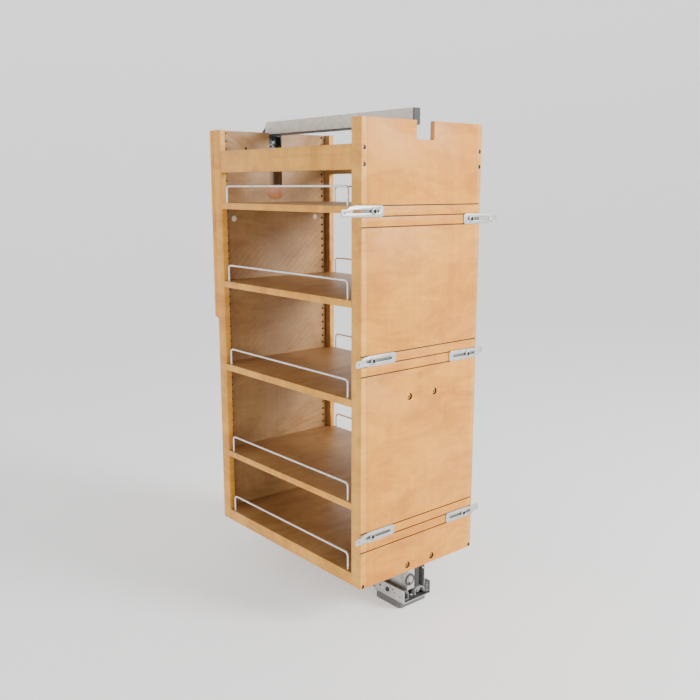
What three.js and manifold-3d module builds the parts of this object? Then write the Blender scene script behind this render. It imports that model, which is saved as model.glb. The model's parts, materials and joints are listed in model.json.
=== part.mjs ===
// Pull-out pantry: a tall, narrow maple unit with five levels that rolls out of a cabinet.
// It rides on two full-extension ball-bearing slides under its bottom board and on a third slide
// above it. Six sliding brackets on its front panel carry the cabinet door.
// Millimetres, +Z up, +Y towards the back of the cabinet, +X to the right seen from the front.
import * as THREE from 'three';
import { mergeVertices } from 'three/addons/utils/BufferGeometryUtils.js';
import Module from 'manifold-3d';

const wasm = await Module();
wasm.setup();

// Driving dimensions.
const GAP = 0.3;                  // between faces that touch
const WIDTH = 352.5;
const DEPTH = 548;                // front panel's outer face to rear panel's outer face
const HEIGHT = 990;
const BASE = 97;                  // cabinet floor to the underside of the bottom board
const PLY = 12;                   // front and rear panels
const STILE_WIDTH = 15;
const STILE_DEPTH = 30.7;
const BACKING = 15.5;             // board behind the upper half of the rear panel
const BACKING_BOTTOM = 529;
const BOTTOM_BOARD = 28;
const SHELF_LEVELS = [
  { name: 'shelf_lower', underside: 174, thickness: 14.5 },
  { name: 'shelf_middle', underside: 401, thickness: 16 },
  { name: 'shelf_upper', underside: 611.5, thickness: 15 },
  { name: 'shelf_top', underside: 802.5, thickness: 14.8 },
];
const SIDE_RAIL = { underside: 889, top: 939.5, thickness: 19 };
const NOTCH = { width: 52, depth: 39, radius: 5 };
const SLOT = { width: 38, bottom: 858 };
const KERF = { width: 2.6, depth: 2.4, pitch: 21.5 };
const KERF_MIDDLES = { top: 796.7, middle: 491.3, bottom: 105 };
const WIRE = { radius: 2.4, inset: 6, rise: 42, bend: 9, front: 49, back: 502 };
const DOOR_BRACKET = {
  length: 112, height: 20.5, thickness: 2.4, tip: 14, taper: 10, tipHeight: 14.5, corner: 4,
  slotStart: 28, slotEnd: 100, slotHeight: 6.6, flange: 1.4, flangeStart: 32,
};
const CLAMP = { fromEdge: 31, headRadius: 7.6, headHeight: 2.6, shankRadius: 2.4, hole: 8 };
const BRACKETS = [
  { level: 'top', side: -1, out: 54 }, { level: 'top', side: 1, out: 58 },
  { level: 'middle', side: -1, out: 16 }, { level: 'middle', side: 1, out: 21 },
  { level: 'bottom', side: -1, out: 16 }, { level: 'bottom', side: 1, out: 22 },
];
const FRONT_SCREW = {
  middle: 2.5, spread: 38.5, bore: 7.8, boreDepth: 5, head: 6.4, headHeight: 2.2, shank: 2,
  tip: 40,
};
const FRONT_SCREW_HEIGHTS = { shelf: 408, bottom: 15.5 };
const STILE_SCREW = { inset: 6.5, bore: 4.4, depth: 4, heights: [931.5, 899, 5.6] };
const POCKET = { depth: 12.5, top: 950 };  // the rear slot goes on into the backing board
const PAD = { width: 87, length: 85, height: 17, front: 14.5, radius: 9 };
const FOOT_BRACKET = {
  width: 86.6, length: 97, sheet: 2, top: 48, front: 2.5, hole: { radius: 4, y: 54, z: 18 },
};
const REAR_FOOT_SHIFT = 412;
const SLIDE = {
  back: 518, front: 6, innerFront: 2, height: 27.4, bottom: 20.4, sheet: 1.4, outside: 41,
  depth: 12.6, nest: 2.8,
};
const CARRIAGE = { halfWidth: 28, sheet: 2, bottom: 25, front: 6.7, back: 521 };
const TOP_SLIDE = { width: 18.5, height: 34.5, bottom: 983.5, front: 29, back: 567, sheet: 1.5 };
const ORIGIN_DEPTH = 57;          // the origin lies this far behind the front panel's face

const BACK_INNER = DEPTH - PLY;
const STILE_INNER = WIDTH / 2 - STILE_WIDTH;

// Materials.
const metal = (color, roughness) => new THREE.MeshStandardMaterial({ color, roughness, metalness: 1 });
const matte = (color, roughness) => new THREE.MeshStandardMaterial({ color, roughness, metalness: 0 });
const maple = () => matte(0xe0b68c, 0.55);
const zinc = () => metal(0xc8c8cc, 0.35);
const darkZinc = () => metal(0x8c8f90, 0.4);
const chrome = () => metal(0xd8d4ce, 0.2);
const blackSteel = () => matte(0x1c1d20, 0.5);
const greyPlastic = () => matte(0x7a7a75, 0.6);

const unit = new THREE.Group();
unit.position.set(0, -ORIGIN_DEPTH, 0);
const pantry = new THREE.Group();  // measured from the underside of the bottom board
pantry.position.z = BASE;
unit.add(pantry);

function place(parent, name, geometry, material) {
  const mesh = new THREE.Mesh(geometry, material);
  mesh.name = name;
  parent.add(mesh);
  return mesh;
}

// Solid helpers.
function solid(geometry) {
  const bare = geometry.clone();
  bare.deleteAttribute('normal');
  bare.deleteAttribute('uv');
  const merged = mergeVertices(bare, 1e-4);
  return new wasm.Manifold(new wasm.Mesh({
    numProp: 3,
    vertProperties: new Float32Array(merged.attributes.position.array),
    triVerts: new Uint32Array(merged.index.array),
  }));
}

function toGeometry(manifold) {
  const mesh = manifold.getMesh();
  const geometry = new THREE.BufferGeometry();
  geometry.setAttribute('position', new THREE.BufferAttribute(mesh.vertProperties, 3));
  geometry.setIndex(new THREE.BufferAttribute(mesh.triVerts, 1));
  geometry.computeVertexNormals();
  return geometry;
}

function cut(geometry, tools) {
  return toGeometry(tools.reduce((body, tool) => body.subtract(solid(tool)), solid(geometry)));
}

function join(geometries) {
  return toGeometry(geometries.slice(1).reduce((body, more) => body.add(solid(more)), solid(geometries[0])));
}

// A box from its lowest to its highest corner.
function box(x0, x1, y0, y1, z0, z1) {
  const geometry = new THREE.BoxGeometry(x1 - x0, y1 - y0, z1 - z0);
  geometry.translate((x0 + x1) / 2, (y0 + y1) / 2, (z0 + z1) / 2);
  return geometry;
}

// A round bar along Y or X, from its start to its end.
function barY(radius, x, z, y0, y1, sides = 16) {
  const geometry = new THREE.CylinderGeometry(radius, radius, y1 - y0, sides);
  geometry.translate(x, (y0 + y1) / 2, z);
  return geometry;
}

function barX(radius, y, z, x0, x1, sides = 16) {
  const geometry = new THREE.CylinderGeometry(radius, radius, x1 - x0, sides);
  geometry.rotateZ(Math.PI / 2);
  geometry.translate((x0 + x1) / 2, y, z);
  return geometry;
}

// An X-Z outline extruded along Y from y0 to y1.
function extrudeY(shape, y0, y1, curveSegments = 4) {
  const geometry = new THREE.ExtrudeGeometry(shape, { depth: y1 - y0, bevelEnabled: false, curveSegments });
  geometry.rotateX(Math.PI / 2);
  geometry.translate(0, y1, 0);
  return geometry;
}

// An X-Y outline extruded along Z from z0 to z1.
function extrudeZ(shape, z0, z1, curveSegments = 4) {
  const geometry = new THREE.ExtrudeGeometry(shape, { depth: z1 - z0, bevelEnabled: false, curveSegments });
  geometry.translate(0, 0, z0);
  return geometry;
}

// A Y-Z outline extruded along X from x0 to x1.
function extrudeX(shape, x0, x1) {
  const geometry = new THREE.ExtrudeGeometry(shape, { depth: x1 - x0, bevelEnabled: false });
  geometry.applyMatrix4(new THREE.Matrix4().set(0, 0, 1, x0, 1, 0, 0, 0, 0, 1, 0, 0, 0, 0, 0, 1));
  return geometry;
}

function outline(points) {
  return new THREE.Shape(points.map(([a, b]) => new THREE.Vector2(a, b)));
}

function roundedRectangle(x0, x1, y0, y1, r) {
  const shape = new THREE.Shape();
  shape.moveTo(x0 + r, y0);
  shape.lineTo(x1 - r, y0);
  shape.absarc(x1 - r, y0 + r, r, -Math.PI / 2, 0, false);
  shape.lineTo(x1, y1 - r);
  shape.absarc(x1 - r, y1 - r, r, 0, Math.PI / 2, false);
  shape.lineTo(x0 + r, y1);
  shape.absarc(x0 + r, y1 - r, r, Math.PI / 2, Math.PI, false);
  shape.lineTo(x0, y0 + r);
  shape.absarc(x0 + r, y0 + r, r, Math.PI, 1.5 * Math.PI, false);
  return shape;
}

// Where the clamp screw of a door bracket stands, and the middle height of its channel.
function clampX(bracket) {
  return bracket.side * (WIDTH / 2 - CLAMP.fromEdge);
}

function channelZ(bracket) {
  return KERF_MIDDLES[bracket.level] - bracket.side * KERF.pitch / 2;
}

// Front end: plywood panel between two solid stiles.
function frontPanel() {
  const x = STILE_INNER - GAP / 2;
  const notch = roundedRectangle(
    -NOTCH.width / 2, NOTCH.width / 2, HEIGHT - NOTCH.depth, HEIGHT + 2 * NOTCH.radius, NOTCH.radius);
  const tools = [extrudeY(notch, -1, PLY + 1)];
  for (const middle of Object.values(KERF_MIDDLES)) {
    for (const step of [-1, 0, 1]) {
      const z = middle + step * KERF.pitch;
      tools.push(box(-x - 1, x + 1, -1, KERF.depth, z - KERF.width / 2, z + KERF.width / 2));
    }
  }
  for (const bracket of BRACKETS) {
    tools.push(barY(CLAMP.shankRadius + GAP, clampX(bracket), channelZ(bracket), -1, CLAMP.hole, 12));
  }
  for (const screw of FRONT_SCREWS) {
    tools.push(barY(FRONT_SCREW.bore, screw.x, screw.z, -1, FRONT_SCREW.boreDepth, 24));
    tools.push(barY(FRONT_SCREW.shank + GAP, screw.x, screw.z, 3, PLY + 1, 12));
  }
  return cut(box(-x, x, 0, PLY, 0, HEIGHT), tools);
}

// Four long screws fasten the fixed middle shelf and the bottom board through the front panel.
const FRONT_SCREWS = Object.entries(FRONT_SCREW_HEIGHTS).flatMap(([board, z]) => [-1, 1].map((side) => ({
  name: `${board}_screw_${side < 0 ? 'left' : 'right'}`,
  x: FRONT_SCREW.middle + side * FRONT_SCREW.spread,
  z,
})));

function frontScrew(screw) {
  const seat = FRONT_SCREW.boreDepth - GAP;
  return join([
    barY(FRONT_SCREW.head, screw.x, screw.z, seat - FRONT_SCREW.headHeight, seat, 20),
    barY(FRONT_SCREW.shank, screw.x, screw.z, seat - 1, FRONT_SCREW.tip, 10),
  ]);
}

// A stile is kerfed where it crosses the door bracket channels, and bored for its own screws.
function frontStile(side) {
  const x0 = side < 0 ? -WIDTH / 2 : STILE_INNER + GAP / 2;
  const tools = [];
  for (const middle of Object.values(KERF_MIDDLES)) {
    for (const step of [-1, 0, 1]) {
      const z = middle + step * KERF.pitch;
      tools.push(box(x0 - 1, x0 + STILE_WIDTH + 1, -1, KERF.depth, z - KERF.width / 2, z + KERF.width / 2));
    }
  }
  for (const z of STILE_SCREW.heights) {
    tools.push(barY(STILE_SCREW.bore, side * (WIDTH / 2 - STILE_SCREW.inset), z, -1, STILE_SCREW.depth, 20));
  }
  return cut(box(x0, x0 + STILE_WIDTH - GAP / 2, 0, STILE_DEPTH, 0, HEIGHT), tools);
}

// Rear end: the same build, with a slot for the top slide's bracket. In the backing board the slot
// is a pocket, open to the back only at its top.
function slotTool(y0, y1, z0) {
  return box(-SLOT.width / 2, SLOT.width / 2, y0, y1, z0, HEIGHT + 1);
}

function rearPanel() {
  const x = STILE_INNER - GAP / 2;
  return cut(box(-x, x, BACK_INNER, DEPTH, 0, HEIGHT), [slotTool(BACK_INNER - 1, DEPTH + 1, SLOT.bottom)]);
}

function rearStile(side) {
  const x0 = side < 0 ? -WIDTH / 2 : STILE_INNER + GAP / 2;
  return box(x0, x0 + STILE_WIDTH - GAP / 2, DEPTH - STILE_DEPTH, DEPTH, 0, HEIGHT);
}

function rearBackingBoard() {
  const chamfer = 5;
  const y0 = DEPTH + GAP;
  const y1 = y0 + BACKING;
  const section = extrudeX(
    outline([[y0, BACKING_BOTTOM], [y1, BACKING_BOTTOM + chamfer], [y1, HEIGHT], [y0, HEIGHT]]),
    -WIDTH / 2, WIDTH / 2);
  const pocket = slotTool(y0 - 1, y0 + POCKET.depth, SLOT.bottom);
  return cut(section, [pocket, slotTool(y0, y1 + 1, POCKET.top)]);
}

// A shelf reaches between the stiles to both plywood panels.
function shelf(underside, thickness) {
  const x = WIDTH / 2;
  const tongue = STILE_INNER - GAP;
  const front = STILE_DEPTH + GAP;
  const back = DEPTH - STILE_DEPTH - GAP;
  const corners = [
    [x, back], [tongue, back], [tongue, BACK_INNER - GAP],
    [-tongue, BACK_INNER - GAP], [-tongue, back], [-x, back],
    [-x, front], [-tongue, front], [-tongue, PLY + GAP],
    [tongue, PLY + GAP], [tongue, front], [x, front],
  ];
  return extrudeZ(outline(corners), underside, underside + thickness);
}

// The fixed shelf and the bottom board are drilled for the front screws.
function drilled(geometry, z) {
  const screws = FRONT_SCREWS.filter((screw) => screw.z === z);
  const end = FRONT_SCREW.tip + 2;
  return cut(geometry, screws.map((screw) => barY(FRONT_SCREW.shank + GAP, screw.x, z, 0, end, 10)));
}

function sideRail(side) {
  const x0 = side < 0 ? -WIDTH / 2 : WIDTH / 2 - SIDE_RAIL.thickness;
  return box(
    x0, x0 + SIDE_RAIL.thickness, STILE_DEPTH + GAP, DEPTH - STILE_DEPTH - GAP,
    SIDE_RAIL.underside, SIDE_RAIL.top);
}

// A wire guard rail: two legs and a long top with rounded corners.
class WireRoute extends THREE.Curve {
  constructor(points) {
    super();
    this.points = points;
  }

  getPoint(t, target = new THREE.Vector3()) {
    const last = this.points.length - 1;
    const index = Math.min(Math.floor(t * last + 1e-9), last - 1);
    return target.lerpVectors(this.points[index], this.points[index + 1], t * last - index);
  }

  getPointAt(t, target) {
    return this.getPoint(t, target);
  }

  getTangentAt(t, target = new THREE.Vector3()) {
    const last = this.points.length - 1;
    const here = Math.round(t * last);
    const before = this.points[Math.max(here - 1, 0)];
    const after = this.points[Math.min(here + 1, last)];
    return target.subVectors(after, before).normalize();
  }
}

function wireRail(side, shelfTop) {
  const x = side * (WIDTH / 2 - WIRE.inset);
  const top = shelfTop + WIRE.rise - WIRE.radius;
  const bendSteps = 4;
  const points = [new THREE.Vector3(x, WIRE.front, shelfTop + GAP)];
  for (const [y, start] of [[WIRE.front + WIRE.bend, Math.PI], [WIRE.back - WIRE.bend, Math.PI / 2]]) {
    for (let step = 0; step <= bendSteps; step += 1) {
      const angle = start - (Math.PI / 2) * (step / bendSteps);
      points.push(new THREE.Vector3(
        x, y + WIRE.bend * Math.cos(angle), top - WIRE.bend + WIRE.bend * Math.sin(angle)));
    }
  }
  points.push(new THREE.Vector3(x, WIRE.back, shelfTop + GAP));
  const section = new THREE.Shape().absarc(0, 0, WIRE.radius, 0, 2 * Math.PI, false);
  return new THREE.ExtrudeGeometry(section, {
    steps: points.length - 1, curveSegments: 8, extrudePath: new WireRoute(points),
  });
}

// A door bracket: a slotted plate whose edge flanges run in the kerfs. Drawn with its outer end
// at zero and its length along +X, then turned to its side of the panel.
function doorBracket(bracket) {
  const b = DOOR_BRACKET;
  const h = b.height / 2;
  const face = -GAP - b.thickness;
  const shape = new THREE.Shape();
  shape.moveTo(b.corner, -h);
  shape.absarc(b.length - b.corner, b.corner - h, b.corner, -Math.PI / 2, 0, false);
  shape.absarc(b.length - b.corner, h - b.corner, b.corner, 0, Math.PI / 2, false);
  shape.lineTo(b.tip + b.taper, h);
  shape.lineTo(b.tip, b.tipHeight - h);
  shape.absarc(b.corner, b.tipHeight - h - b.corner, b.corner, Math.PI / 2, Math.PI, false);
  shape.absarc(b.corner, b.corner - h, b.corner, Math.PI, 1.5 * Math.PI, false);
  const plate = extrudeY(shape, face, -GAP);
  const kerf = KERF.pitch / 2;
  const flanges = [-1, 1].map((edge) => box(
    b.flangeStart, b.length - b.corner, face + 0.2, KERF.depth - GAP,
    edge * kerf - b.flange / 2, edge * kerf + b.flange / 2));
  const webs = [-1, 1].map((edge) => box(
    b.flangeStart, b.length - b.corner, face + 0.2, -GAP,
    Math.min(edge * (h - 1), edge * kerf), Math.max(edge * (h - 1), edge * kerf)));
  const half = b.slotHeight / 2;
  const slot = extrudeY(roundedRectangle(b.slotStart, b.slotEnd, -half, half, 0.99 * half), -9, 9);
  const doorHole = barY(2.4, 8, -3, -9, 9, 12);
  const body = cut(join([plate, ...webs, ...flanges]), [slot, doorHole]);
  if (bracket.side > 0) {
    body.rotateY(Math.PI);
  }
  body.translate(bracket.side * (WIDTH / 2 + bracket.out), 0, channelZ(bracket));
  return body;
}

function clampScrew(bracket) {
  const x = clampX(bracket);
  const z = channelZ(bracket);
  const seat = -GAP - DOOR_BRACKET.thickness - GAP;
  const recess = barY(2.4, x, z, seat - CLAMP.headHeight - 1, seat - CLAMP.headHeight + 1.6, 4);
  return cut(join([
    barY(CLAMP.headRadius, x, z, seat - CLAMP.headHeight, seat, 20),
    barY(CLAMP.shankRadius, x, z, seat - 1, CLAMP.hole - 1, 10),
  ]), [recess]);
}

// Floor pads and the steel feet on them, front and rear.
function floorPad(shift) {
  const y0 = PAD.front + shift;
  const shape = roundedRectangle(-PAD.width / 2, PAD.width / 2, y0, y0 + PAD.length, PAD.radius);
  return extrudeZ(shape, 0, PAD.height, 4);
}

function footBracket(shift) {
  const half = FOOT_BRACKET.width / 2;
  const sheet = FOOT_BRACKET.sheet;
  const z0 = PAD.height + GAP;
  const y0 = FOOT_BRACKET.front + shift;
  const section = outline([
    [-half, z0], [half, z0], [half, FOOT_BRACKET.top], [half - sheet, FOOT_BRACKET.top],
    [half - sheet, z0 + sheet], [-half + sheet, z0 + sheet], [-half + sheet, FOOT_BRACKET.top],
    [-half, FOOT_BRACKET.top],
  ]);
  const { hole } = FOOT_BRACKET;
  const sideHole = barX(hole.radius, y0 + hole.y, z0 + hole.z, -half - 1, -half + sheet + 1, 16);
  return cut(extrudeY(section, y0, y0 + FOOT_BRACKET.length), [sideHole]);
}

// A ball-bearing slide standing on edge: channels that nest inside each other.
function channelSection(side, webAt, reach, z0, z1, sheet) {
  const web = side * webAt;
  const inner = side * (webAt - sheet);
  const lip = side * (webAt - reach);
  return outline([
    [web, z0], [lip, z0], [lip, z0 + sheet], [inner, z0 + sheet],
    [inner, z1 - sheet], [lip, z1 - sheet], [lip, z1], [web, z1],
  ]);
}

function slideSections(side) {
  const z0 = SLIDE.bottom;
  const z1 = SLIDE.bottom + SLIDE.height;
  const nest = SLIDE.nest;
  return {
    outer: channelSection(side, SLIDE.outside, SLIDE.depth - 2.4, z0, z1, SLIDE.sheet),
    middle: channelSection(side, SLIDE.outside - 2.6, SLIDE.depth - 4.4, z0 + nest, z1 - nest, SLIDE.sheet),
    inner: channelSection(
      -side, SLIDE.depth - SLIDE.outside, SLIDE.depth - 5.6, z0 + 2 * nest, z1 - 2 * nest, SLIDE.sheet),
  };
}

// The carriage: an inverted channel under the bottom board, between the two slides.
function carriage() {
  const half = CARRIAGE.halfWidth;
  const inner = half - CARRIAGE.sheet;
  const top = BASE - GAP;
  const section = outline([
    [-half, CARRIAGE.bottom], [-inner, CARRIAGE.bottom], [-inner, top - CARRIAGE.sheet],
    [inner, top - CARRIAGE.sheet], [inner, CARRIAGE.bottom], [half, CARRIAGE.bottom],
    [half, top], [-half, top],
  ]);
  return extrudeY(section, CARRIAGE.front, CARRIAGE.back);
}

// At the front of the carriage: a stop plate with its adjuster dial, and the catch beside it.
const STOP_PLATE = { x0: -25.7, x1: -4.6, z0: 44, z1: 94, y: 8, sheet: 2.5 };
const DIAL = { x: -22.5, z: 70.5, radius: 14, back: 6.4, thickness: 3, hub: 5.5, hubHeight: 2, shank: 2 };
const CATCH = { x0: -1, x1: 13, z0: 40, z1: 94, y0: 10, y1: 52, chamfer: 6 };

function stopPlate() {
  const p = STOP_PLATE;
  const plate = box(p.x0, p.x1, p.y, p.y + p.sheet, p.z0, p.z1);
  return cut(plate, [barY(DIAL.shank + GAP, DIAL.x, DIAL.z, p.y - 1, p.y + p.sheet + 1, 12)]);
}

function adjusterDial() {
  const { x, z, back } = DIAL;
  const front = back - DIAL.thickness;
  return join([
    barY(DIAL.radius, x, z, front, back, 28),
    barY(DIAL.hub, x, z, front - DIAL.hubHeight, front + 1, 16),
    barY(DIAL.shank, x, z, back - 1, back + 16, 10),
  ]);
}

function catchBlock() {
  const c = CATCH;
  const front = outline([
    [c.x0, c.z0 + c.chamfer], [c.x0 + c.chamfer, c.z0], [c.x1, c.z0], [c.x1, c.z1], [c.x0, c.z1],
  ]);
  return extrudeY(front, c.y0, c.y1);
}

// The top slide hangs from the cabinet's ceiling: nested channels, open side down or up.
function topSlideSections() {
  const half = TOP_SLIDE.width / 2;
  const top = TOP_SLIDE.bottom + TOP_SLIDE.height;
  const t = TOP_SLIDE.sheet;
  const low = TOP_SLIDE.bottom + 4;
  const mid = half - t - 0.8;
  const core = mid - t - 0.8;
  return {
    outer: outline([
      [-half, low], [-half + t, low], [-half + t, top - t], [half - t, top - t],
      [half - t, low], [half, low], [half, top], [-half, top],
    ]),
    middle: outline([
      [-mid, low + 1], [-mid + t, low + 1], [-mid + t, top - t - 3], [mid - t, top - t - 3],
      [mid - t, low + 1], [mid, low + 1], [mid, top - t - 1.4], [-mid, top - t - 1.4],
    ]),
    inner: outline([
      [-half, TOP_SLIDE.bottom], [half, TOP_SLIDE.bottom], [half, TOP_SLIDE.bottom + 2],
      [core, TOP_SLIDE.bottom + 2], [core, top - t - 6], [-core, top - t - 6],
      [-core, TOP_SLIDE.bottom + 2], [-half, TOP_SLIDE.bottom + 2],
    ]),
  };
}

// The black bracket in the rear slot joins the inner member of the top slide to the rear panel.
const SLOT_BRACKET = {
  top: TOP_SLIDE.bottom - GAP, drop: 30.5, recess: 16, sheet: 3, hole: 4, holeHeight: 17,
  lip: 10, flapSpread: 12, flapDrop: 8,
};

function slotBracket() {
  const b = SLOT_BRACKET;
  const x = SLOT.width / 2 - GAP;
  const y0 = BACK_INNER + b.recess;
  const back = DEPTH + GAP + BACKING;
  const face = box(-x, x, y0, y0 + b.sheet, b.top - b.drop, b.top);
  const ledge = box(-x, x, BACK_INNER, back + b.lip, b.top - b.sheet, b.top);
  const spread = x + b.flapSpread;
  const flap = box(-spread, spread, back + GAP, back + GAP + b.sheet, b.top - b.drop - b.flapDrop, b.top);
  const hole = barY(b.hole, -x / 2, b.top - b.holeHeight, y0 - 1, y0 + b.sheet + 1, 20);
  return cut(join([face, ledge, flap]), [hole]);
}

// A wedge behind the rear end of the top slide.
const REAR_STOP = { length: 18, bottom: 989.5, top: 1006.5, toe: 1.5 };

function rearStop() {
  const y = TOP_SLIDE.back + GAP;
  const half = TOP_SLIDE.width / 2;
  const r = REAR_STOP;
  const toe = y + r.length;
  const side = outline([[y, r.bottom], [toe, r.bottom], [toe, r.bottom + r.toe], [y, r.top]]);
  return extrudeX(side, -half, half);
}

// A plastic cap on the front end of the inner member covers the nested channels.
function frontCap() {
  const y = TOP_SLIDE.front - GAP;
  const half = TOP_SLIDE.width / 2;
  return box(-half, half, y - 3, y, TOP_SLIDE.bottom, TOP_SLIDE.bottom + TOP_SLIDE.height);
}

// Assembly: the pantry unit.
place(pantry, 'front_panel', frontPanel(), maple());
place(pantry, 'rear_panel', rearPanel(), maple());
place(pantry, 'rear_backing_board', rearBackingBoard(), maple());
for (const side of [-1, 1]) {
  const hand = side < 0 ? 'left' : 'right';
  place(pantry, `front_stile_${hand}`, frontStile(side), maple());
  place(pantry, `rear_stile_${hand}`, rearStile(side), maple());
  place(pantry, `side_rail_${hand}`, sideRail(side), maple());
}
place(pantry, 'bottom_board', drilled(shelf(0, BOTTOM_BOARD), FRONT_SCREW_HEIGHTS.bottom), maple());
for (const level of SHELF_LEVELS) {
  const fixed = level.name === 'shelf_middle';
  const board = shelf(level.underside, level.thickness);
  place(pantry, level.name, fixed ? drilled(board, FRONT_SCREW_HEIGHTS.shelf) : board, maple());
}
for (const screw of FRONT_SCREWS) {
  place(pantry, screw.name, frontScrew(screw), darkZinc());
}

// Guard rails on both long sides of every level.
const RAIL_LEVELS = [{ name: 'bottom', top: BOTTOM_BOARD }].concat(SHELF_LEVELS.map((level) => ({
  name: level.name.replace('shelf_', ''), top: level.underside + level.thickness,
})));
for (const level of RAIL_LEVELS) {
  for (const side of [-1, 1]) {
    const hand = side < 0 ? 'left' : 'right';
    place(pantry, `wire_rail_${level.name}_${hand}`, wireRail(side, level.top), chrome());
  }
}

// Door brackets and their clamp screws.
for (const bracket of BRACKETS) {
  const tag = `${bracket.level}_${bracket.side < 0 ? 'left' : 'right'}`;
  place(pantry, `door_bracket_${tag}`, doorBracket(bracket), zinc());
  place(pantry, `clamp_screw_${tag}`, clampScrew(bracket), darkZinc());
}

// Floor feet, bottom slides and carriage.
for (const [end, shift] of [['front', 0], ['rear', REAR_FOOT_SHIFT]]) {
  place(unit, `floor_pad_${end}`, floorPad(shift), greyPlastic());
  place(unit, `foot_bracket_${end}`, footBracket(shift), zinc());
}
for (const side of [-1, 1]) {
  const hand = side < 0 ? 'left' : 'right';
  const sections = slideSections(side);
  for (const member of ['outer', 'middle', 'inner']) {
    const front = member === 'inner' ? SLIDE.innerFront : SLIDE.front;
    const channel = extrudeY(sections[member], front, SLIDE.back);
    place(unit, `bottom_slide_${member}_${hand}`, channel, zinc());
  }
}
place(unit, 'carriage', carriage(), zinc());
place(unit, 'stop_plate', stopPlate(), zinc());
place(unit, 'adjuster_dial', adjusterDial(), zinc());
place(unit, 'catch_block', catchBlock(), blackSteel());

// Top slide and its rear bracket.
const topSections = topSlideSections();
for (const member of ['outer', 'middle', 'inner']) {
  const channel = extrudeY(topSections[member], TOP_SLIDE.front, TOP_SLIDE.back);
  place(pantry, `top_slide_${member}`, channel, zinc());
}
place(pantry, 'slot_bracket', slotBracket(), blackSteel());
place(pantry, 'rear_stop', rearStop(), blackSteel());
place(pantry, 'top_slide_cap', frontCap(), matte(0x26252a, 0.5));

export default unit;
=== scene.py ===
"""Pull-out pantry: looks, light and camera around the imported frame. Metres, +Z up, front faces -Y."""
import json
import math

import bmesh
import bpy
from mathutils import Matrix, Vector

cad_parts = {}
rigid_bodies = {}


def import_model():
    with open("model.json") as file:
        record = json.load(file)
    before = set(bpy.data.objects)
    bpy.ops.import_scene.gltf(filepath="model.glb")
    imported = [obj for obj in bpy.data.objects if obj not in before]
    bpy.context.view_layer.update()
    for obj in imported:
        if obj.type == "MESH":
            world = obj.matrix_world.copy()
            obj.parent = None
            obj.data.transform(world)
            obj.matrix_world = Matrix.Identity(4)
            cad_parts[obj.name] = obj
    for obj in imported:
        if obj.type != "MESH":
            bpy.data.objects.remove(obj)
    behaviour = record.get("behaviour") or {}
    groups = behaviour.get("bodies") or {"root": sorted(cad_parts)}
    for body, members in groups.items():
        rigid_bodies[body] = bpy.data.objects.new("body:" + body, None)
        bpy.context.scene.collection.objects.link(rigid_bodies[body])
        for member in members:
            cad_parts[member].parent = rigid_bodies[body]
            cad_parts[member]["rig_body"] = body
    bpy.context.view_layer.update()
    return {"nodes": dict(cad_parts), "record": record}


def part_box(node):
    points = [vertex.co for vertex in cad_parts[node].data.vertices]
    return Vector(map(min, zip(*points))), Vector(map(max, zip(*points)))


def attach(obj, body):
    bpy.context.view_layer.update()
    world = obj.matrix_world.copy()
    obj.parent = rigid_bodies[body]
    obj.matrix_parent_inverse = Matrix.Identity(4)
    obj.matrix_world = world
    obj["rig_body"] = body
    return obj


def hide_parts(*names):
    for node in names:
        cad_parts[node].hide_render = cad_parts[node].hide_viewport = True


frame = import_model()
nodes = frame["nodes"]
slot_of = {part["node"]: part["material_slot"] for part in frame["record"]["subparts"]}
MM = 0.001
SAME_POINT = 0.001 * MM             # vertices this near are one
FLAT_WITHIN = math.radians(1.0)     # faces turned less than this are one

PANTRY = "pantry"
CABINET = "cabinet_side"
LEVELS = ("bottom", "lower", "middle", "upper", "top")
SIDES = {"left": -1, "right": 1}
BRACKET_TAGS = [f"{level}_{hand}" for level in ("top", "middle", "bottom") for hand in SIDES]

# ---------------------------------------------------------------- camera, light and floor
CAMERA_PLACE = (-1.27647, -1.31453, 0.95091)
CAMERA_AZIMUTH = 40.400        # degrees from +Y towards +X
CAMERA_TILT = -11.014
CAMERA_LENS = 42.924


def make_camera():
    data = bpy.data.cameras.new("camera")
    data.sensor_width = 36.0
    data.lens = CAMERA_LENS
    data.clip_end = 50.0
    cam = bpy.data.objects.new("camera", data)
    cam.location = CAMERA_PLACE
    cam.rotation_euler = (math.radians(90 + CAMERA_TILT), 0.0, -math.radians(CAMERA_AZIMUTH))
    bpy.context.scene.collection.objects.link(cam)
    bpy.context.scene.camera = cam


def area_light(name, place, aim, size, power, colour=(1.0, 1.0, 1.0)):
    data = bpy.data.lights.new(name, "AREA")
    data.shape = "RECTANGLE"
    data.size, data.size_y = size
    data.energy = power
    data.color = colour
    lamp = bpy.data.objects.new(name, data)
    lamp.location = place
    lamp.rotation_euler = (Vector(aim) - Vector(place)).to_track_quat("-Z", "Y").to_euler()
    bpy.context.scene.collection.objects.link(lamp)


def make_light():
    world = bpy.data.worlds.new("studio")
    world.use_nodes = True
    bpy.context.scene.world = world
    sky = world.node_tree.nodes["Background"]
    sky.inputs["Color"].default_value = (1.0, 0.99, 0.975, 1.0)
    sky.inputs["Strength"].default_value = 0.26
    area_light("key_front_right", (1.7, -3.0, 2.1), (0.0, 0.0, 0.6), (1.3, 1.5), 184.0)
    area_light("side_left", (-3.2, 0.9, 1.5), (-0.1, 0.2, 0.6), (1.4, 1.8), 9.0, (1.0, 0.99, 0.97))
    area_light("top_soft", (-0.3, 0.3, 3.6), (0.0, 0.2, 0.5), (2.2, 2.2), 15.0)


FLOOR_REACH, FLOOR_SWEEP, WALL_TOP = 6.0, 3.0, 8.0    # the flat's radius, the curve's, the wall's top
FLOOR_DROP = 0.5 * MM                                 # keeps the floor clear of the feet's undersides
FLOOR_RINGS, SWEEP_STEPS, FLOOR_SIDES = 4, 16, 96


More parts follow.
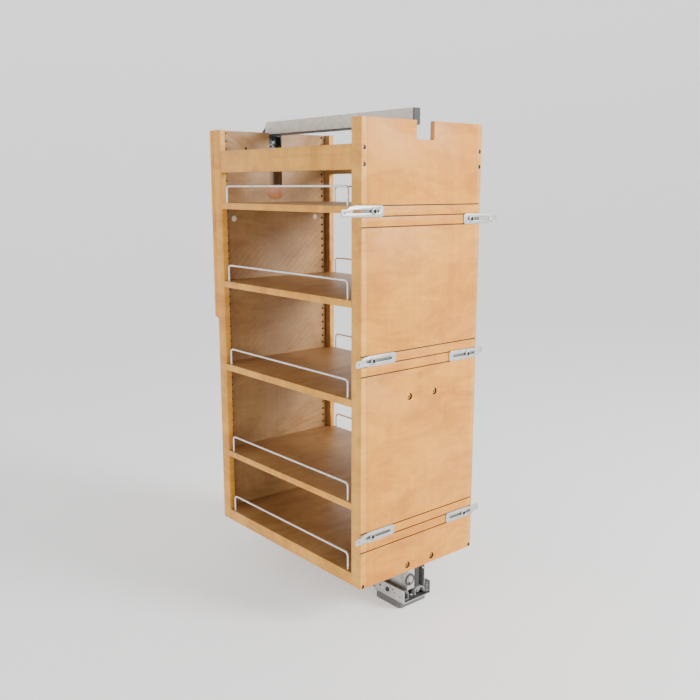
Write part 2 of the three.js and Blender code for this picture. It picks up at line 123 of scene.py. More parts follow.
def make_floor():
    """A pale, faintly glowing round floor that curves up into a wall far from the object."""
    profile = [(FLOOR_REACH * k / FLOOR_RINGS, 0.0) for k in range(1, FLOOR_RINGS + 1)]
    for i in range(1, SWEEP_STEPS + 1):
        a = math.pi / 2 * i / SWEEP_STEPS
        profile.append((FLOOR_REACH + FLOOR_SWEEP * math.sin(a), FLOOR_SWEEP * (1 - math.cos(a))))
    profile.append((FLOOR_REACH + FLOOR_SWEEP, WALL_TOP))
    mesh = bmesh.new()
    rows = [[mesh.verts.new((r * math.cos(t), r * math.sin(t), z - FLOOR_DROP)) for t in around(FLOOR_SIDES)]
            for r, z in profile]
    mesh.faces.new(rows[0])
    for near, far in zip(rows, rows[1:]):
        for k in range(FLOOR_SIDES):
            j = (k + 1) % FLOOR_SIDES
            mesh.faces.new((near[j], near[k], far[k], far[j]))
    floor = new_object("studio_floor", mesh)
    for face in floor.data.polygons:
        face.use_smooth = True
    mat, _, shader = new_material("studio_floor")
    shader.inputs["Base Color"].default_value = (0.90, 0.90, 0.90, 1)
    shader.inputs["Roughness"].default_value = 0.9
    shader.inputs["Emission Color"].default_value = (1.0, 1.0, 1.0, 1)
    shader.inputs["Emission Strength"].default_value = 0.48
    floor.data.materials.append(mat)


# ---------------------------------------------------------------- mesh helpers
def around(count):
    """Equally spaced angles of one full turn."""
    return [2 * math.pi * k / count for k in range(count)]


def new_object(name, mesh):
    """A scene object that takes over a bmesh."""
    mesh.normal_update()
    data = bpy.data.meshes.new(name)
    mesh.to_mesh(data)
    mesh.free()
    made = bpy.data.objects.new(name, data)
    bpy.context.scene.collection.objects.link(made)
    return made


def applied(obj):
    """The object with its modifiers applied to its mesh."""
    graph = bpy.context.evaluated_depsgraph_get()
    data = bpy.data.meshes.new_from_object(obj.evaluated_get(graph), depsgraph=graph)
    obj.modifiers.clear()
    old = obj.data
    obj.data = data
    bpy.data.meshes.remove(old)
    return obj


def copy_of(node, name):
    """A clean copy of a CAD node's mesh, with its flat faces whole."""
    mesh = bmesh.new()
    mesh.from_mesh(nodes[node].data)
    bmesh.ops.remove_doubles(mesh, verts=mesh.verts, dist=SAME_POINT)
    bmesh.ops.dissolve_limit(mesh, angle_limit=FLAT_WITHIN, verts=mesh.verts, edges=mesh.edges)
    return new_object(name, mesh)


def combine(obj, other, operation):
    """Cuts or joins other into obj, with other's material on the new faces, and removes other."""
    step = obj.modifiers.new("combine", "BOOLEAN")
    step.operation = operation
    step.solver = "EXACT"
    step.material_mode = "TRANSFER"
    step.object = other
    applied(obj)
    bpy.data.objects.remove(other)
    return obj


def bevel(obj, width, segments=2, angle=30.0):
    """Adds a modifier that rounds every edge sharper than angle."""
    step = obj.modifiers.new("bevel", "BEVEL")
    step.width = width
    step.segments = segments
    step.limit_method = "ANGLE"
    step.angle_limit = math.radians(angle)
    step.use_clamp_overlap = True
    return obj


def smooth(obj, angle=35.0):
    """Shades faces smoothly, but keeps edges sharper than angle crisp."""
    for face in obj.data.polygons:
        face.use_smooth = True
    obj.data.set_sharp_from_angle(angle=math.radians(angle))
    return obj


def bar(mesh, radius, start, end, sides=20):
    """Adds a closed round bar from start to end."""
    start, end = Vector(start), Vector(end)
    turn = (end - start).to_track_quat("Z", "Y").to_matrix().to_4x4()
    bmesh.ops.create_cone(
        mesh, cap_ends=True, segments=sides, radius1=radius, radius2=radius, depth=(end - start).length,
        matrix=Matrix.Translation((start + end) / 2) @ turn)


def block(mesh, low, high):
    """Adds a box between two corners."""
    low, high = Vector(low), Vector(high)
    size = Matrix.Diagonal((*(high - low), 1))
    bmesh.ops.create_cube(mesh, size=1.0, matrix=Matrix.Translation((low + high) / 2) @ size)


def prism(mesh, outline, axis, start, end):
    """Adds an outline of (a, b) points extruded along an axis, X (a is Y) or Y (a is X)."""
    def at(point, along):
        return (along, point[0], point[1]) if axis == "X" else (point[0], along, point[1])
    near = [mesh.verts.new(at(p, start)) for p in outline]
    far = [mesh.verts.new(at(p, end)) for p in outline]
    faces = [mesh.faces.new(near), mesh.faces.new(list(reversed(far)))]
    for i in range(len(outline)):
        j = (i + 1) % len(outline)
        faces.append(mesh.faces.new((near[j], near[i], far[i], far[j])))
    bmesh.ops.recalc_face_normals(mesh, faces=faces)


def revolve(mesh, profile, place, axis, sides=28):
    """Adds a closed turned shape: (radius, height) points from its top on the axis to its foot."""
    turn = Vector(axis).to_track_quat("Z", "Y").to_matrix().to_4x4()
    matrix = Matrix.Translation(place) @ turn
    rings = []
    for radius, height in profile:
        if radius == 0:
            rings.append([mesh.verts.new(matrix @ Vector((0, 0, height)))])
            continue
        rings.append([mesh.verts.new(matrix @ Vector((radius * math.cos(t), radius * math.sin(t), height)))
                      for t in around(sides)])
    faces = []
    for upper, lower in zip(rings, rings[1:]):
        for k in range(sides):
            j = (k + 1) % sides
            corners = [upper[k % len(upper)], upper[j % len(upper)],
                       lower[j % len(lower)], lower[k % len(lower)]]
            faces.append(mesh.faces.new(list(dict.fromkeys(corners))))
    bmesh.ops.recalc_face_normals(mesh, faces=faces)


def sweep_tube(name, points, radius, sides=18):
    """A round closed tube along a list of points in one Y-Z plane."""
    mesh = bmesh.new()
    points = [Vector(p) for p in points]
    last = len(points) - 1
    side = Vector((1, 0, 0))
    rings = []
    for i, point in enumerate(points):
        along = (points[min(i + 1, last)] - points[max(i - 1, 0)]).normalized()
        across = side.cross(along).normalized()
        rings.append([mesh.verts.new(point + radius * (math.cos(t) * side + math.sin(t) * across))
                      for t in around(sides)])
    for near, far in zip(rings, rings[1:]):
        for k in range(sides):
            mesh.faces.new((near[k], near[(k + 1) % sides], far[(k + 1) % sides], far[k]))
    mesh.faces.new(list(reversed(rings[0])))
    mesh.faces.new(rings[-1])
    bmesh.ops.recalc_face_normals(mesh, faces=mesh.faces)
    return new_object(name, mesh)


def arc(centre, radius, start, end, steps):
    """Points on an arc of a plane, between two angles in degrees."""
    for k in range(steps + 1):
        a = math.radians(start + (end - start) * k / steps)
        yield centre[0] + radius * math.cos(a), centre[1] + radius * math.sin(a)


# ---------------------------------------------------------------- materials
WHITE = (1.0, 1.0, 1.0)
DULLED = 0.82                       # how dark the cloudy patches of steel and plastic are


def new_material(name):
    mat = bpy.data.materials.new(name)
    mat.use_nodes = True
    tree = mat.node_tree
    return mat, tree, tree.nodes["Principled BSDF"]


def add(tree, kind, **values):
    """A new shader node: in_ values go to its sockets, the rest to its own settings."""
    node = tree.nodes.new(kind)
    for key, value in values.items():
        if key.startswith("in_"):
            node.inputs[key[3:].replace("_", " ")].default_value = value
        else:
            setattr(node, key, value)
    return node


def ramp(tree, source, stops):
    """A colour that follows a grey value through (place, colour) stops."""
    node = add(tree, "ShaderNodeValToRGB")
    elements = node.color_ramp.elements
    while len(elements) < len(stops):
        elements.new(0.5)
    for element, (place, colour) in zip(elements, stops):
        element.position = place
        element.color = (*colour, 1.0)
    tree.links.new(source, node.inputs["Fac"])
    return node.outputs["Color"]


def multiply(tree, amount, a, b):
    """Colour a darkened by colour b, as far as amount says."""
    node = add(tree, "ShaderNodeMix", data_type="RGBA", blend_type="MULTIPLY")
    node.inputs["Factor"].default_value = amount
    tree.links.new(a, node.inputs[6])
    tree.links.new(b, node.inputs[7])
    return node.outputs[2]


def stretched(tree, grain, along, across):
    """Object coordinates, scaled so that a texture runs long in the grain's direction."""
    place = add(tree, "ShaderNodeTexCoord")
    mapping = add(tree, "ShaderNodeMapping")
    mapping.inputs["Scale"].default_value = [along if axis == grain else across for axis in "XYZ"]
    tree.links.new(place.outputs["Object"], mapping.inputs["Vector"])
    return mapping.outputs["Vector"]


def noise(tree, vector, scale, detail=4.0, rough=0.55, distortion=0.0):
    """A cloudy grey value."""
    node = add(tree, "ShaderNodeTexNoise", in_Scale=scale, in_Detail=detail, in_Roughness=rough)
    node.inputs["Distortion"].default_value = distortion
    tree.links.new(vector, node.inputs["Vector"])
    return node.outputs["Fac"]


def spread(tree, source, low, high):
    """A grey value of 0 to 1 moved into the range low to high."""
    node = add(tree, "ShaderNodeMapRange")
    node.inputs["To Min"].default_value = low
    node.inputs["To Max"].default_value = high
    tree.links.new(source, node.inputs["Value"])
    return node.outputs["Result"]


def bump(tree, shader, height, strength, distance):
    """Gives a shader fine relief from a grey value."""
    node = add(tree, "ShaderNodeBump", in_Strength=strength, in_Distance=distance)
    tree.links.new(height, node.inputs["Height"])
    tree.links.new(node.outputs["Normal"], shader.inputs["Normal"])


def maple(name, grain, light, dark, streak=0.5):
    """Maple under clear lacquer: soft blotches, curl across the grain, faint streaks and pores."""
    mat, tree, shader = new_material(name)
    between = tuple((a + b) / 2 for a, b in zip(light, dark))
    cloud = noise(tree, stretched(tree, grain, 6.5, 8.0), 1.0, 6.0, 0.62, 0.5)
    colour = ramp(tree, cloud, [(0.34, dark), (0.52, between), (0.66, light)])
    hue = noise(tree, stretched(tree, grain, 11.0, 17.0), 1.3, 4.0, 0.6, 0.3)
    warm = ramp(tree, hue, [(0.36, (1.0, 0.93, 0.90)), (0.5, WHITE), (0.66, (0.98, 1.0, 0.90))])
    colour = multiply(tree, 0.9, colour, warm)
    figure = noise(tree, stretched(tree, grain, 15.0, 6.0), 1.0, 5.0, 0.65, 1.2)
    blotch = ramp(tree, figure, [(0.36, (0.75, 0.66, 0.53)), (0.57, WHITE)])
    colour = multiply(tree, 0.8, colour, blotch)
    curl = noise(tree, stretched(tree, grain, 75.0, 14.0), 1.0, 3.0, 0.55, 0.6)
    wave = ramp(tree, curl, [(0.34, (0.87, 0.85, 0.82)), (0.55, WHITE)])
    colour = multiply(tree, 0.5, colour, wave)
    streaks = noise(tree, stretched(tree, grain, 2.2, 110.0), 1.0, 5.0, 0.62, 0.15)
    tone = ramp(tree, streaks, [(0.34, (0.84, 0.76, 0.68)), (0.60, WHITE)])
    colour = multiply(tree, streak, colour, tone)
    pores = noise(tree, stretched(tree, grain, 60.0, 900.0), 1.0, 3.0, 0.7)
    speck = ramp(tree, pores, [(0.28, (0.66, 0.54, 0.42)), (0.42, WHITE)])
    colour = multiply(tree, 0.35, colour, speck)
    tree.links.new(colour, shader.inputs["Base Color"])
    tree.links.new(spread(tree, streaks, 0.40, 0.56), shader.inputs["Roughness"])
    shader.inputs["Specular IOR Level"].default_value = 0.35
    shader.inputs["Coat Weight"].default_value = 0.08
    shader.inputs["Coat Roughness"].default_value = 0.35
    bump(tree, shader, pores, 0.08, 0.4 * MM)
    return mat


def ply_edge(name, axis, light, dark, sheet=1.35 * MM):
    """The cut edge of plywood: thin layers across its thickness, alternately light and dark."""
    mat, tree, shader = new_material(name)
    place = add(tree, "ShaderNodeTexCoord")
    parts = add(tree, "ShaderNodeSeparateXYZ")
    tree.links.new(place.outputs["Object"], parts.inputs["Vector"])
    turns = add(tree, "ShaderNodeMath", operation="MULTIPLY")
    turns.inputs[1].default_value = 0.5 / sheet
    tree.links.new(parts.outputs[axis], turns.inputs[0])
    layer = add(tree, "ShaderNodeMath", operation="FRACT")
    tree.links.new(turns.outputs["Value"], layer.inputs[0])
    layers = ramp(tree, layer.outputs["Value"], [(0.42, dark), (0.50, light), (0.92, light), (1.0, dark)])
    fibres = noise(tree, stretched(tree, axis, 500.0, 90.0), 1.0, 4.0, 0.65)
    fleck = ramp(tree, fibres, [(0.3, (0.80, 0.72, 0.64)), (0.6, WHITE)])
    tree.links.new(multiply(tree, 0.7, layers, fleck), shader.inputs["Base Color"])
    tree.links.new(spread(tree, fibres, 0.55, 0.75), shader.inputs["Roughness"])
    bump(tree, shader, fibres, 0.15, 0.3 * MM)
    return mat


def steel(name, colour, roughness, grain="Y", brush=0.08, metallic=1.0):
    """Plated or polished steel with a faint drawn grain and cloudy plating."""
    mat, tree, shader = new_material(name)
    shader.inputs["Metallic"].default_value = metallic
    lines = noise(tree, stretched(tree, grain, 12.0, 700.0), 1.0, 3.0, 0.6)
    cloud = noise(tree, stretched(tree, grain, 60.0, 90.0), 1.0, 5.0, 0.65)
    dark = tuple(c * DULLED for c in colour)
    tree.links.new(ramp(tree, cloud, [(0.35, dark), (0.62, colour)]), shader.inputs["Base Color"])
    brushed = spread(tree, lines, roughness - brush, roughness + brush)
    tree.links.new(brushed, shader.inputs["Roughness"])
    bump(tree, shader, lines, 0.05, 0.2 * MM)
    return mat


def plastic(name, colour, roughness, grain_size=900.0, depth=0.12):
    """Moulded plastic with a fine spark-eroded texture and slight shade changes."""
    mat, tree, shader = new_material(name)
    vector = stretched(tree, "Z", 1.0, 1.0)
    fine = noise(tree, vector, grain_size, 2.0)
    cloud = noise(tree, vector, 30.0, 3.0)
    base = ramp(tree, cloud, [(0.3, tuple(c * DULLED for c in colour)), (0.7, colour)])
    tree.links.new(base, shader.inputs["Base Color"])
    tree.links.new(spread(tree, cloud, roughness - 0.06, roughness + 0.08), shader.inputs["Roughness"])
    bump(tree, shader, fine, depth, 0.2 * MM)
    return mat


LIGHT_MAPLE, DARK_MAPLE = (0.90, 0.385, 0.030), (0.76, 0.285, 0.018)
# Painted shade: a duller, darker copy of the maple for faces inside the pantry
SHADED_INNER_LIGHT, SHADED_INNER_DARK = (0.47, 0.265, 0.105), (0.37, 0.205, 0.080)
EDGE_LIGHT, EDGE_DARK = (0.90, 0.45, 0.070), (0.80, 0.37, 0.052)
MATERIALS = {
    "panel": maple("maple_panel", "Z", LIGHT_MAPLE, DARK_MAPLE, 0.35),
    "stile": maple("maple_stile", "Z", EDGE_LIGHT, EDGE_DARK, 0.6),
    "rail": maple("maple_rail", "Y", EDGE_LIGHT, EDGE_DARK, 0.6),
    "inner": maple("maple_inner_painted_shade", "Z", SHADED_INNER_LIGHT, SHADED_INNER_DARK, 0.35),
    # Painted shade: a dark maple for the walls of the rear slot's pocket
    "pocket": maple("maple_pocket_painted_shade", "Z", (0.27, 0.155, 0.066), (0.20, 0.115, 0.048), 0.4),
    # Painted shade: the boards' faces take a darker maple for the shade inside the pantry
    "shelf": maple("maple_shelf_painted_shade", "Y", (0.48, 0.265, 0.100), (0.39, 0.21, 0.078), 0.45),
    "banding": maple("maple_banding", "Y", EDGE_LIGHT, EDGE_DARK, 0.5),
    # Painted shade: near-black maple for the kerfs' walls and floors
    "kerf": maple("maple_kerf_painted_shade", "X", (0.085, 0.038, 0.014), (0.06, 0.026, 0.009), 0.5),
    # Painted shade: near-black maple for the walls of bores and pin holes
    "bore": maple("maple_bore_painted_shade", "Y", (0.13, 0.055, 0.022), (0.09, 0.036, 0.014), 0.4),
    "ply_y": ply_edge("plywood_edge", "Y", (0.84, 0.43, 0.14), (0.58, 0.24, 0.06)),
    "badge": maple("stained_badge", "X", (0.52, 0.21, 0.085), (0.44, 0.175, 0.07), 0.3),
    "wire": steel("chrome_wire", (0.94, 0.90, 0.84), 0.28, "Y", 0.05, 0.8),
    "zinc": steel("zinc_plate", (0.52, 0.52, 0.51), 0.42, "X", 0.08, 0.55),
    # slide steel, also painted shade on the inward walls of the feet's and carriage's channels
    "slide": steel("slide_steel", (0.34, 0.34, 0.33), 0.42, "Y", 0.08, 0.6),
    # Partly painted shade: the seat plate is dark so the brackets' slots read shaded
    "seat": steel("serrated_seat_painted_shade", (0.20, 0.205, 0.18), 0.5, "X", 0.08, 0.5),
    "yellow_zinc": steel("yellow_zinc", (0.84, 0.46, 0.12), 0.5, "Z", 0.08, 0.6),
    "bar": steel("top_bar_steel", (0.72, 0.68, 0.60), 0.5, "Y", 0.03, 0.15),
    "screw": steel("screw_steel", (0.50, 0.50, 0.49), 0.4, "Z", 0.08, 0.6),
    # Painted shade: a near-black, non-metal paint for the insides of screw recesses and holes
    "recess": steel("recess_painted_shade", (0.012, 0.012, 0.012), 0.7, "Z", 0.08, 0.0),
    # dark steel, also painted shade on channel floors and in the brackets' slots
    "dark_steel": steel("dark_steel", (0.15, 0.15, 0.145), 0.5, "Y", 0.08, 0.5),
    "black_metal": plastic("black_bracket", (0.022, 0.026, 0.034), 0.38, 500.0, 0.05),
    "black_plastic": plastic("black_plastic", (0.030, 0.029, 0.031), 0.5),
    "grey_plastic": plastic("grey_plastic", (0.135, 0.132, 0.125), 0.55),
    "white_plastic": plastic("white_cap", (0.93, 0.82, 0.66), 0.4),
}


def paint(obj, *keys):
    """Puts materials on an object's slots, adding slots as needed and keeping its faces' choice."""
    slots = obj.data.materials
    for i, key in enumerate(keys):
        if i < len(slots):
            slots[i] = MATERIALS[key]
        else:
            slots.append(MATERIALS[key])
    return obj


def finished(piece, body, slot, *replaced):
    """Hands a piece to the frame: what it rides on and the CAD nodes that it stands for; its finish, slot, is
    not used.
    """
    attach(piece, body)
    if replaced:
        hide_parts(*replaced)
    return piece


def soften(node, key, width=0.5 * MM):
    """Eases the edges of a CAD node by modifiers and gives it a material."""
    obj = nodes[node]
    weld = obj.modifiers.new("weld", "WELD")
    weld.merge_threshold = SAME_POINT
    flat = obj.modifiers.new("flat", "DECIMATE")
    flat.decimate_type = "DISSOLVE"
    flat.angle_limit = FLAT_WITHIN
    bevel(obj, width)
    for slot in obj.material_slots:
        slot.material = MATERIALS[key]
    return obj


def stand_in(node, keys, cutters, width, rule=None):
    """A detailed copy of a CAD node: its faces painted by a rule, then cut, its edges eased."""
    piece = paint(copy_of(node, f"{node}_detailed"), *keys)
    if rule:
        for face in piece.data.polygons:
            face.material_index = rule(face)
    if cutters:
        combine(piece, cutters, "DIFFERENCE")
    applied(bevel(piece, width))
    return finished(smooth(piece), nodes[node]["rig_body"], slot_of[node], node)


def cutter(name, key, mesh):
    """A shape to cut with, in the material that its cut faces get."""
    return paint(new_object(name, mesh), key)


# ---------------------------------------------------------------- wooden ends
FRONT_KEYS = ("panel", "ply_y", "kerf", "bore", "inner")
REAR_KEYS = ("inner", "ply_y", "pocket", "panel")
PIN_RADIUS, PIN_DEPTH, PIN_PITCH, PIN_ROWS = 2.9 * MM, 8.5 * MM, 19.05 * MM, 44
PIN_INSET, PIN_TOP = 11.2 * MM, 6.4 * MM             # from the panel's side and top edges
KERF_DEPTH = 2.4 * MM
KERF_FLOORS = 0.5 * MM, 3 * MM                       # how far behind the front face a kerf's floor can lie
BORE_REACH = 8.5 * MM                                # faces this near a screw's axis are its bore
BORED_NODES = ("shelf_screw_left", "shelf_screw_right", "bottom_screw_left", "bottom_screw_right")
PANEL_HOLE = {"radius": 3 * MM, "across": 71 * MM, "down": 41 * MM, "depth": 8 * MM}
POCKET_REACH = 20 * MM                               # from the middle of the rear slot to past its sides
ALONG = 0.7                                          # a normal's least part along the axis that it follows


def pin_row_height(row):
    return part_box("rear_panel")[1].z - PIN_TOP - row * PIN_PITCH


def pin_holes(mesh, low, high, inner, outwards):
    """Two columns of shelf-pin holes in a panel, from its inner face towards its outer one."""
    for x in (low.x + PIN_INSET, high.x - PIN_INSET):
        for row in range(PIN_ROWS):
            z = pin_row_height(row)
            bar(mesh, PIN_RADIUS, (x, inner - outwards * MM, z), (x, inner + outwards * PIN_DEPTH, z), 12)


def front_panel_rule(low, high):
    """Face paint of the kerfed front, as slots of FRONT_KEYS, with painted shade on its inner face, kerfs and
    bores.
    """
    bores = [(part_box(node)[0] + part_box(node)[1]) / 2 for node in BORED_NODES]

    def rule(face):
        at, normal = face.center, face.normal
        near = min(math.hypot(at.x - bore.x, at.z - bore.z) for bore in bores)
        # painted shade: the screw bores' faces take the near-black bore maple
        if near < BORE_REACH and low.y + 0.2 * MM < at.y < high.y - MM:
            return FRONT_KEYS.index("bore")
        # painted shade: the inner face takes the darker inner maple
        if normal.y > ALONG and at.y > high.y - MM:
            return FRONT_KEYS.index("inner")
        # painted shade: kerf floors and walls take the near-black kerf maple
        if abs(normal.y) > ALONG:
            in_kerf = low.y + KERF_FLOORS[0] < at.y < low.y + KERF_FLOORS[1]
            return FRONT_KEYS.index("kerf" if in_kerf else "panel")
        top_or_bottom = at.z > high.z - MM or at.z < low.z + MM
        kerf_wall = at.y < low.y + KERF_DEPTH and not top_or_bottom and abs(normal.z) > ALONG
        return FRONT_KEYS.index("kerf" if kerf_wall else "ply_y")
    return rule


def rear_panel_rule(low, high):
    """Face paint of the rear panel, as slots of REAR_KEYS, with painted shade on its inner face and its
    pocket's side walls.
    """
    def rule(face):
        if face.normal.y > ALONG:
            return REAR_KEYS.index("panel")
        # painted shade: the inner face takes the darker inner maple
        if face.normal.y < -ALONG:
            return REAR_KEYS.index("inner")
        # painted shade: the pocket's side walls take the dark pocket maple
        within = abs(face.center.x - (low.x + high.x) / 2) < POCKET_REACH and face.center.z < high.z - 2 * MM
        return REAR_KEYS.index("pocket" if within and abs(face.normal.x) > ALONG else "ply_y")
    return rule


def front_stile_rule(low, high):
    """Painted shade, slot 1: near-black maple on the front stile's kerfs and screw bores."""
    kerf_floor_area = 15e-6

    def rule(face):
        at, normal = face.center, face.normal
        inside = low.x + 0.5 * MM < at.x < high.x - 0.5 * MM
        at_front = low.y + 0.5 * MM < at.y < low.y + 4.5 * MM
        bored = abs(normal.z) < 0.99 and abs(normal.y) < 0.5 and inside
        kerf_wall = at_front and abs(normal.z) > 0.9 and at.y < low.y + KERF_DEPTH
        kerf_floor = (at_front and normal.y < -0.9 and face.area > kerf_floor_area
                      and at.y < low.y + KERF_FLOORS[1])
        return 1 if bored or kerf_wall or kerf_floor else 0
    return rule


def inward_shade_rule(side):
    """Painted shade, slot 1: a duller, darker maple on the faces of a side's stile or rail that face inwards
    or down.
    """
    def rule(face):
        return 1 if side * face.normal.x < -ALONG or face.normal.z < -ALONG else 0
    return rule


def backing_rule(low, high):
    """Shaded paint, slot 1, for the pocket that the rear slot cuts into the backing board."""
    def rule(face):
        at = face.center
        across = abs(at.x - (low.x + high.x) / 2) < POCKET_REACH
        return 1 if across and low.y + MM < at.y < high.y - MM and at.z > low.z + MM else 0
    return rule


def make_ends():
    low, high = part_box("front_panel")
    holes = bmesh.new()
    pin_holes(holes, low, high, high.y, -1)
    rule = front_panel_rule(low, high)
    # the pin holes' walls take the near-black bore maple as painted shade
    stand_in("front_panel", FRONT_KEYS, cutter("pin_holes", "bore", holes), 0.2 * MM, rule)

    low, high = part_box("rear_panel")
    holes = bmesh.new()
    pin_holes(holes, low, high, low.y, 1)
    x, z = low.x + PANEL_HOLE["across"], high.z - PANEL_HOLE["down"]
    bar(holes, PANEL_HOLE["radius"], (x, low.y - MM, z), (x, low.y + PANEL_HOLE["depth"], z))
    rule = rear_panel_rule(low, high)
    # the pin holes' walls take the near-black bore maple as painted shade
    stand_in("rear_panel", REAR_KEYS, cutter("pin_holes", "bore", holes), 0.5 * MM, rule)

    for hand, side in SIDES.items():
        rule = front_stile_rule(*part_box(f"front_stile_{hand}"))
        stand_in(f"front_stile_{hand}", ("stile", "kerf"), None, 0.6 * MM, rule)
        stand_in(f"rear_stile_{hand}", ("stile", "inner"), None, 0.8 * MM, inward_shade_rule(side))
        stand_in(f"side_rail_{hand}", ("rail", "inner"), None, 0.9 * MM, inward_shade_rule(side))
    rule = backing_rule(*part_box("rear_backing_board"))
    stand_in("rear_backing_board", ("panel", "pocket"), None, 0.6 * MM, rule)


def make_shelves():
    """The five boards, with solid edging along their two long sides; their faces take a darker maple as
    painted shade.
    """
    def rule(face):
        return 1 if abs(face.normal.x) > ALONG else 0
    for node in ("bottom_board", "shelf_lower", "shelf_middle", "shelf_upper", "shelf_top"):
        stand_in(node, ("shelf", "banding"), None, 0.6 * MM, rule)


PEG_RADIUS, PEG_DEPTH = 2.3 * MM, 7 * MM             # the part of a shelf pin that is in its hole
SUPPORT_HALF, SUPPORT_REACH = 4.5 * MM, 9 * MM       # half the width of its flat support, and its length
SUPPORT_THICKNESS = 1.6 * MM


def make_pins():
    """Steel pegs with a flat support, under the corners of the adjustable shelves."""
    low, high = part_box("rear_panel")
    front_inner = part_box("front_panel")[1].y
    for level in ("lower", "upper", "top"):
        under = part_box(f"shelf_{level}")[0].z - 0.1 * MM
        row = math.ceil((high.z - PIN_TOP - under + 3 * MM) / PIN_PITCH)
        z = pin_row_height(row)
        for end, inner, away in (("front", front_inner, 1), ("rear", low.y, -1)):
            for hand, x in (("left", low.x + PIN_INSET), ("right", high.x - PIN_INSET)):
                mesh = bmesh.new()
                bar(mesh, PEG_RADIUS, (x, inner - away * PEG_DEPTH, z), (x, inner + away * 0.6 * MM, z), 16)
                ys = sorted((inner + away * 0.1 * MM, inner + away * 1.7 * MM))
                block(mesh, (x - SUPPORT_HALF, ys[0], z - 4 * MM), (x + SUPPORT_HALF, ys[1], under))
                ys = sorted((inner + away * 1.6 * MM, inner + away * SUPPORT_REACH))
                block(mesh, (x - SUPPORT_HALF, ys[0], under - SUPPORT_THICKNESS),
                      (x + SUPPORT_HALF, ys[1], under))
                pin = paint(new_object(f"shelf_pin_{level}_{end}_{hand}", mesh), "dark_steel")
                finished(smooth(applied(bevel(pin, 0.3 * MM))), PANTRY, "zinc_plate")


CAPS = {"left": -130.25 * MM, "right": 124.75 * MM}  # across, from the middle of the rear panel
CAPS_DOWN = 212 * MM                                 # from its top edge
CAP_PROFILE = [(0, 2.4 * MM), (2.5 * MM, 2.3 * MM), (5 * MM, 1.7 * MM), (6.8 * MM, 0.8 * MM),
               (7.3 * MM, 0.1 * MM), (0, 0.1 * MM)]
BADGE = {"across": -4 * MM, "down": 150.6 * MM, "half_width": 25.2 * MM, "half_height": 15.8 * MM}


def make_rear_details():
    """Two white screw caps and the blank oval badge, on the rear panel's inner face."""
    low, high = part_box("rear_panel")
    centre = (low.x + high.x) / 2
    for hand, across in CAPS.items():
        mesh = bmesh.new()
        revolve(mesh, CAP_PROFILE, (centre + across, low.y, high.z - CAPS_DOWN), (0, -1, 0))
        cap = paint(new_object(f"screw_cap_{hand}", mesh), "white_plastic")
        finished(smooth(cap), PANTRY, "white_plastic")
    x, z = centre + BADGE["across"], high.z - BADGE["down"]
    outline = [(x + BADGE["half_width"] * math.cos(t), z + BADGE["half_height"] * math.sin(t))
               for t in around(48)]
    mesh = bmesh.new()
    prism(mesh, outline, "Y", low.y - 0.35 * MM, low.y - 0.05 * MM)
    badge = paint(new_object("blank_oval_badge", mesh), "badge")
    finished(smooth(applied(bevel(badge, 0.12 * MM))), PANTRY, "wood_panel")


# ---------------------------------------------------------------- screws
STILE_SCREWS = {"foot": 5.6 * MM, "rail_low": 899 * MM, "rail_high": 931.5 * MM}    # up from the stile's foot
STILE_SCREW_INSET, STILE_SCREW_SEAT = 6.5 * MM, 3.95 * MM
FRONT_HEAD_HEIGHT = 2.2 * MM
FLOOR_SCREW_INSET, FOOT_PLATE = 22 * MM, 2.1 * MM


def screw_profile(head, height, shank, length):
    """Half the outline of a pan-head screw, from the middle of its head to its tip."""
    return [
        (0, height), (0.45 * head, 0.97 * height), (0.75 * head, 0.80 * height), (0.93 * head, 0.50 * height),
        (head, 0.18 * height), (head, 0), (shank, 0), (shank, -0.85 * length), (0.4 * shank, -length),
        (0, -length)]


def cross_outline(reach, half):
    return [(reach, -half), (reach, half), (half, half), (half, reach), (-half, reach), (-half, half),
            (-reach, half), (-reach, -half), (-half, -half), (-half, -reach), (half, -reach), (half, -half)]


def screw(name, body, slot, place, axis, head, height, shank, length,
          recess=0.62, replaced=(), key="screw", socket=False):
    """A pan-head screw seated at place, its head standing out along axis, with a cross or hexagon recess."""
    mesh = bmesh.new()
    revolve(mesh, screw_profile(head, height, shank, length), place, axis)
    made = paint(new_object(name, mesh), key)
    turn = Vector(axis).to_track_quat("Z", "Y").to_matrix().to_4x4()
    matrix = Matrix.Translation(place) @ turn @ Matrix.Translation((0, 0, height))
    reach = recess * head
    outline = cross_outline(reach, 0.17 * head)
    if socket:
        outline = [(reach * math.cos(t), reach * math.sin(t)) for t in around(6)]
    cut = bmesh.new()
    rims = [[cut.verts.new(matrix @ Vector((grow * x, grow * y, z))) for x, y in outline]
            for grow, z in ((1.1, 0.4 * height), (0.75, -0.72 * height))]
    cut.faces.new(rims[0])
    cut.faces.new(list(reversed(rims[1])))
    for i in range(len(outline)):
        j = (i + 1) % len(outline)
        cut.faces.new((rims[0][j], rims[0][i], rims[1][i], rims[1][j]))
    bmesh.ops.recalc_face_normals(cut, faces=cut.faces)
    # the recess's faces take the near-black recess paint as painted shade
    combine(made, cutter("cross", "recess", cut), "DIFFERENCE")
    return finished(smooth(made), body, slot, *replaced)


